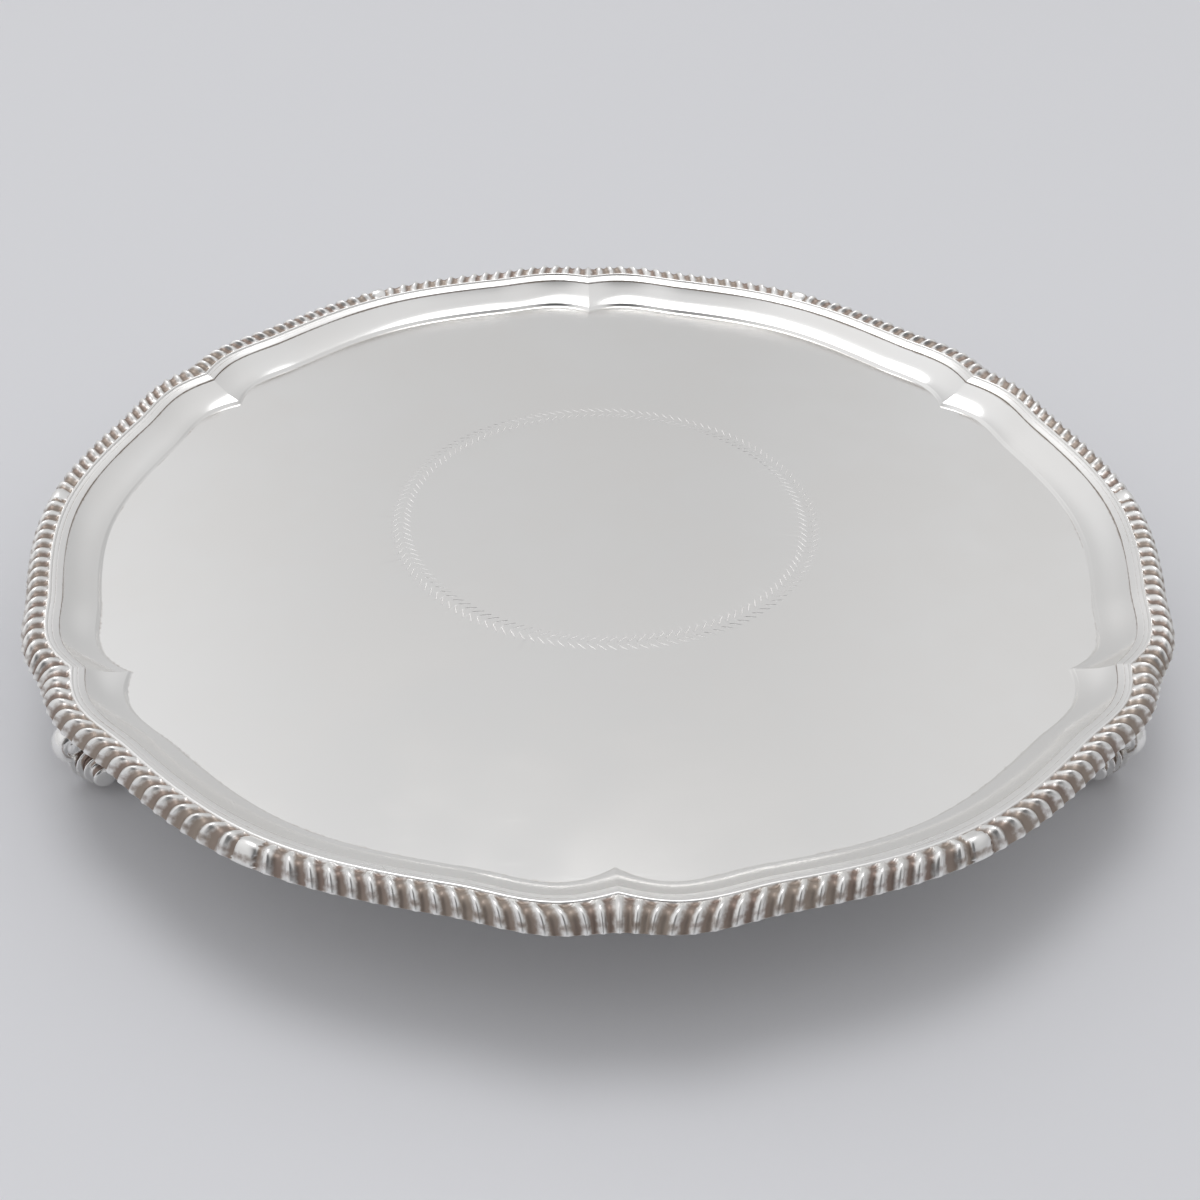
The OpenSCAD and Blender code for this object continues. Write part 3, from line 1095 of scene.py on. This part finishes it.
@dataclass
class ScrollFoot:
    """Cast foot: a turned stepped scroll, a knee of a bent band round a boss, and a neck up to the tray."""

    outline: Outline
    finish: SilverFinish
    scroll_r: float = 6.5 * MM
    worn: float = 0.15 * MM
    band: float = 2.3 * MM
    step: float = 1.1 * MM
    step_wide: float = 2.55 * MM
    undercut: float = 1.0 * MM
    steps: int = 2
    button_r: float = 2.8 * MM
    button_w: float = 0.7 * MM
    waist: float = 2.8 * MM
    knee_thick: float = 4.6 * MM
    knee_half: float = 3.4 * MM
    knee_bend: float = 3.2 * MM
    knee_out: float = 3.4 * MM
    knee_z: float = 11.6 * MM
    knee_from: float = -100
    knee_sweep: float = 260
    boss_r: float = 3.6 * MM
    boss_half: float = 4.2 * MM
    boss_out: float = 3.4 * MM
    boss_z: float = 12.6 * MM
    neck_r: float = 4.0 * MM
    neck_in: float = 5.4 * MM
    voxel: float = 0.17 * MM
    corners: int = 96
    soft_corners: int = 64
    band_corners: int = 48
    band_steps: int = 60
    edge_long: float = 0.25 * MM
    edge_deep: float = 0.2 * MM
    ring_start: float = 0.05 * MM
    ring_soft: float = 0.1 * MM
    ring_from: float = 0.5 * MM
    ring_edge: float = 0.3 * MM
    ring_deep: float = 0.15 * MM
    # Shares of the button's radius and of its thickness, outwards.
    button_shape: tuple[tuple[float, float], ...] = ((1, 0), (1, 0.3), (0.8, 0.75), (0.45, 1))
    # Shares of the boss's radius and of half its width, inwards.
    boss_shape: tuple[tuple[float, float], ...] = ((0.25, 0.98), (0.5, 0.9), (0.72, 0.77), (0.88, 0.6),
                                                   (0.97, 0.4), (1.0, 0.18))
    neck_flare: float = 0.12
    neck_steps: int = 8
    soften: float = 0.5
    smooth_a: float = 60
    steepest: float = 1.5
    let_in: float = 0.15 * MM
    ring_past: float = 0.3 * MM
    rim_soft: float = 0.05 * MM
    rim_share: float = 0.8
    crease_from: float = 1.5 * MM
    crease_soft: float = 0.4 * MM
    crease_tarnish: float = 0.45
    sole_high: float = 0.1 * MM
    sole_tarnish: float = 0.45

    def scroll_profile(self) -> Section:
        """Draw half of the scroll, from its middle out to the button.

        Returns:
            Radii and distances along the scroll's axis.
        """
        points = [(self.scroll_r, 0.0), (self.scroll_r, self.band - self.edge_long),
                  (self.scroll_r - self.edge_deep, self.band)]
        for number in range(1, self.steps + 1):
            rim = self.scroll_r - number * self.step
            start = self.band + (number - 1) * self.step_wide
            stop = start + self.step_wide
            points += [(rim - self.undercut, start + self.ring_start),
                       (rim - self.undercut, mix(start, stop, 0.5)),
                       (rim - self.ring_soft, stop - self.ring_from), (rim, stop - self.ring_edge),
                       (rim - self.ring_deep, stop)]
        far = self.band + self.steps * self.step_wide
        points += [(self.button_r, far + self.ring_soft),
                   (self.button_r - self.undercut, far + self.waist * 0.5)]
        points += [(self.button_r * across, far + self.waist + self.button_w * out)
                   for across, out in self.button_shape]
        return points

    def turn_scroll(self) -> bpy.types.Object:
        """Turn the stepped scroll about a level axis, both ends alike."""
        profile = self.scroll_profile()
        whole = [(r, -y) for r, y in reversed(profile[1:])] + profile
        piece = Bench.turned("scroll", self.corners, whole)
        level = Matrix.Rotation(math.pi / 2, 4, "X")
        lifted = Matrix.Translation((0, 0, self.scroll_r - self.worn))
        piece.data.transform(lifted @ level)
        return piece

    def bend_band(self) -> bpy.types.Object:
        """Bend the knee's outer band by spinning an oval bar's end, and close it."""
        Bench.clear()
        bpy.ops.mesh.primitive_circle_add(vertices=self.band_corners, radius=self.knee_thick / 2,
                                          location=(self.knee_bend, 0, 0))
        bpy.ops.object.transform_apply(location=True, rotation=True, scale=True)
        piece = Bench.named("knee_band")
        Bench.edit()
        widen = 2 * self.knee_half / self.knee_thick
        bpy.ops.transform.resize(value=(1, widen, 1), center_override=Vector((self.knee_bend, 0, 0)))
        bpy.ops.mesh.spin(steps=self.band_steps, angle=math.radians(self.knee_sweep), center=(0, 0, 0),
                          axis=(0, 1, 0))
        Bench.close_up()
        start = Matrix.Rotation(-math.radians(self.knee_from), 4, "Y")
        piece.data.transform(Matrix.Translation((self.knee_out, 0, self.knee_z)) @ start)
        return piece

    def boss(self) -> bpy.types.Object:
        """Turn the boss inside the bend, with a softly domed face at each end."""
        profile = list(self.boss_shape)
        whole = [(r, -y) for r, y in profile] + profile[::-1]
        piece = Bench.turned("boss", self.soft_corners, whole, self.boss_r, self.boss_half)
        place = Matrix.Translation((self.boss_out, 0, self.boss_z))
        piece.data.transform(place @ Matrix.Rotation(math.pi / 2, 4, "X"))
        return piece

    def neck(self) -> bpy.types.Object:
        """Draw the neck up from the knee to the tray, leaning inwards and flaring a little at its top."""
        rise = self.outline.rim_z - self.boss_z
        across = self.neck_in + self.knee_out
        tall = math.hypot(rise, across) + self.neck_r
        piece = Bench.ring("neck", self.soft_corners, self.neck_r, 0.0)
        Bench.edit()
        steps = self.neck_steps
        for step in range(steps):
            grow = 1 + self.neck_flare * (ease((step + 1) / steps) - ease(step / steps))
            Bench.draw_on(grow, tall / steps)
        Bench.close_up()
        lean = Matrix.Rotation(-math.atan2(across, rise), 4, "Y")
        piece.data.transform(Matrix.Translation((self.knee_out, 0, self.boss_z)) @ lean)
        return piece

    def model(self) -> bpy.types.Object:
        """Join scroll, knee, boss and neck into one casting, about the foot's own place."""
        Bench.join([self.turn_scroll(), self.bend_band(), self.boss(), self.neck()])
        casting = Bench.named("foot_pattern")
        Bench.finish_with(casting, "REMESH", mode="VOXEL", voxel_size=self.voxel)
        Bench.finish_with(casting, "SMOOTH", factor=self.soften, iterations=2)
        return casting

    def top_at(self, tray: Tray, reach: float, angle: float) -> float:
        """Return the height of the tray's underside over a point of the foot.

        Args:
            tray: The tray that the foot carries.
            reach: Distance of the point from the middle of the tray.
            angle: Angle of the point.

        Returns:
            Height above the table, just inside the sheet.
        """
        inset = self.outline.reach(angle) - reach
        points = tray.section()
        for (inset_a, z_a), (inset_b, z_b) in zip(points, points[1:]):
            if inset_a <= inset < inset_b:
                share = (inset - inset_a) / (inset_b - inset_a)
                slope = math.hypot(1, (z_b - z_a) / (inset_b - inset_a))
                thick = tray.sheet * min(slope, self.steepest)
                return self.outline.rim_z + mix(z_a, z_b, share) - thick + self.let_in
        flat = points[0][1] if inset < points[0][0] else -tray.well_deep
        return self.outline.rim_z + flat - tray.sheet + self.let_in

    def hollow_at(self, place: Vector) -> float:
        """Return how much tarnish the foot keeps at a place, measured about the foot's own place."""
        axis_z = self.scroll_r - self.worn
        radius = math.hypot(place.x, place.z - axis_z)
        along = abs(place.y)
        far = self.band + self.steps * self.step_wide
        hollow = 0.0
        if radius < self.scroll_r + self.ring_past and self.band < along <= far + self.waist:
            number = min(self.steps, int((along - self.band) / self.step_wide) + 1)
            rim = self.button_r if along > far else self.scroll_r - number * self.step
            hollow = clamp((rim + self.rim_soft - radius) / (self.undercut * self.rim_share))
        crease = abs(math.hypot(place.x - self.boss_out, place.z - self.boss_z) - self.boss_r)
        if along > self.crease_from and radius > self.scroll_r and place.z > self.boss_z - self.boss_r - MM:
            hollow = max(hollow, self.crease_tarnish * math.exp(-(crease / self.crease_soft) ** 2))
        return max(hollow, self.sole_tarnish if place.z < self.sole_high else 0.0)

    def build(self, pattern: bpy.types.Object, tray: Tray, stand: Stand,
              material: bpy.types.Material) -> bpy.types.Object:
        """Set a copy of the casting at its place and fit its top to the tray.

        Args:
            pattern: The casting.
            tray: The tray that the foot carries.
            stand: Which foot this is.
            material: Its finish.

        Returns:
            The finished foot.
        """
        name, angle = stand.value
        piece = Bench.copy(pattern, name + "_scroll")
        Bench.note(piece, "hollow", [self.hollow_at(vertex.co) for vertex in piece.data.vertices])
        turn = Matrix.Rotation(math.radians(angle), 4, "Z")
        piece.data.transform(turn @ Matrix.Translation((self.outline.reach(angle), 0, 0)))
        for vertex in piece.data.vertices:
            co = vertex.co
            top = self.top_at(tray, co.xy.length, math.degrees(math.atan2(co.y, co.x)))
            co.z = max(0.0, min(co.z, top))
        Bench.smooth(piece, self.smooth_a)
        dress(piece, material, name)
        return piece


def dress(piece: bpy.types.Object, material: bpy.types.Material, node: str) -> None:
    """Give a piece its finish and tell the frame what it stands for.

    Args:
        piece: The finished piece.
        material: Its finish.
        node: CAD node that it replaces.
    """
    piece.data.materials.clear()
    piece.data.materials.append(material)
    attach(piece, "root")
    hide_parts(node)
    points, faces = len(piece.data.vertices), len(piece.data.polygons)
    LOG.info("%s: %d points, %d faces, for %s", piece.name, points, faces, node)


# ---- the studio ----


@dataclass
class Studio:
    """Pale table, soft light all round and the camera."""

    floor_half: float = 8.0
    camera_at: tuple[float, float, float] = (-0.012525, -0.32365, 0.2465)
    azimuth: float = -2.378
    elevation: float = 37.59
    roll: float = 1.352
    lens: float = 41.264
    floor_colour: Colour = (0.80, 0.805, 0.83, 1)
    floor_dull: float = 0.42
    floor_shine: float = 0.35
    light_from: tuple[float, float, float] = (-0.06, 0.35, 0.935)
    light_bright: float = 3.4
    # Where each part of the light starts and ends, and its level at either end if not 0 and 1.
    overhead: tuple[float, ...] = (0.35, 0.85, 0.585, 0.67)
    left_more: float = -0.12
    side_on: tuple[float, ...] = (0.08, 0.38, 0.0, 0.12)
    side_up: tuple[float, ...] = (0.22, 0.5)
    front_on: tuple[float, ...] = (0.12, 0.55)
    front_wide: tuple[float, ...] = (0.15, 0.6, 1.0, 0.0)
    front_level: float = 0.07
    lobe_on: tuple[float, ...] = (0.953, 0.992, 0.0)
    bluer: float = 1.012
    shade_close: float = 1.5
    shade_dark: float = 0.985
    film_wide: float = 36.0
    sees_to: float = 50.0

    def build(self) -> None:
        """Lay the table, hang the light and set the camera."""
        self.lay_floor()
        self.hang_light()
        self.set_camera()

    def lay_floor(self) -> None:
        """Lay the pale table."""
        Bench.clear()
        bpy.ops.mesh.primitive_plane_add(size=2 * self.floor_half)
        floor = Bench.named("studio_floor")
        Bench.edit()
        bpy.ops.mesh.subdivide(number_cuts=3)
        Bench.done()
        material = bpy.data.materials.new("studio_floor_finish")
        w = Wiring.on(material)
        place = w.add("TexCoord").outputs["Object"]
        shade = w.noise(place, self.shade_close)
        darker = tuple(part * self.shade_dark for part in self.floor_colour[:3]) + (1,)
        colour = w.blend(shade, self.floor_colour, darker)
        shader = w.add("BsdfPrincipled", {"Base Color": colour, "Roughness": self.floor_dull,
                                          "Specular IOR Level": self.floor_shine})
        w.add("OutputMaterial", {"Surface": shader.outputs[0]})
        floor.data.materials.append(material)

    def hang_light(self) -> None:
        """Wrap the studio in soft light that brightens overhead and towards the left."""
        world = bpy.data.worlds.new("studio_light")
        bpy.context.scene.world = world
        w = Wiring.on(world)
        towards = w.add("TexCoord").outputs["Generated"]
        parts = w.add("SeparateXYZ", {"Vector": towards}).outputs
        sideways = w.math("ABSOLUTE", parts["X"])
        rise = w.ramp(parts["Z"], *self.overhead)
        left = w.math("MULTIPLY", parts["X"], self.left_more)
        sides = w.math("MULTIPLY", w.ramp(sideways, *self.side_on), w.ramp(parts["Z"], *self.side_up))
        level = w.math("ADD", w.math("ADD", rise, left), sides)
        front = w.ramp(w.math("MULTIPLY", parts["Y"], -1.0), *self.front_on)
        front = w.math("MULTIPLY", front, w.ramp(sideways, *self.front_wide))
        dark = w.math("MULTIPLY", front, w.math("SUBTRACT", level, self.front_level))
        level = w.math("SUBTRACT", level, dark)
        unit = Vector(self.light_from).normalized()
        lobe = w.add("VectorMath", {0: towards, 1: unit}, operation="DOT_PRODUCT").outputs["Value"]
        level = w.math("ADD", level, w.ramp(lobe, *self.lobe_on, self.light_bright))
        bluish = w.math("MULTIPLY", level, self.bluer)
        tint = w.add("CombineColor", {"Red": level, "Green": level, "Blue": bluish}).outputs[0]
        shader = w.add("Background", {"Color": tint, "Strength": 1.0})
        w.add("OutputWorld", {"Surface": shader.outputs[0]})
        bpy.context.scene.view_settings.view_transform = "Standard"

    def set_camera(self) -> None:
        """Set the camera in front of the tray, looking down on it."""
        data = bpy.data.cameras.new("studio_camera")
        data.lens = self.lens
        data.sensor_width = self.film_wide
        data.clip_end = self.sees_to
        camera = bpy.data.objects.new("studio_camera", data)
        bpy.context.scene.collection.objects.link(camera)
        around, up, rolled = (math.radians(v) for v in (self.azimuth, self.elevation, self.roll))
        back = Vector((math.sin(around) * math.cos(up), -math.cos(around) * math.cos(up), math.sin(up)))
        right = (-back).cross(Vector((0, 0, 1))).normalized()
        over = right.cross(-back)
        across = right * math.cos(rolled) + over * math.sin(rolled)
        upright = -right * math.sin(rolled) + over * math.cos(rolled)
        turned = Matrix((across, upright, back)).transposed().to_4x4()
        camera.matrix_world = Matrix.Translation(self.camera_at) @ turned
        bpy.context.scene.camera = camera


def main() -> None:
    """Build the salver and its studio, piece by piece."""
    logging.basicConfig(level=logging.INFO, format="%(name)s: %(message)s")
    effects = Effects()
    outline = Outline()
    tray = Tray(outline, wreath=Wreath())
    tray.build(effects)
    border = BorderLength(outline, SilverFinish("border_silver_finish", polish=0.27, tarnish_start=0.2,
                                                tarnish_full=0.75, wave_deep=0.004 * MM))
    border_finish = border.finish.build(effects)
    bar = border.cast_first()
    for length in Length:
        border.build(bar, length, border_finish)
    Bench.scrap(bar)
    foot = ScrollFoot(outline, SilverFinish("foot_silver_finish", polish=0.17, tarnish_start=0.15,
                                            tarnish_full=0.6, wave_deep=0.004 * MM))
    foot_finish = foot.finish.build(effects)
    pattern = foot.model()
    for stand in Stand:
        foot.build(pattern, tray, stand, foot_finish)
    Bench.scrap(pattern)
    Studio().build()


if __name__ == "__main__":
    main()
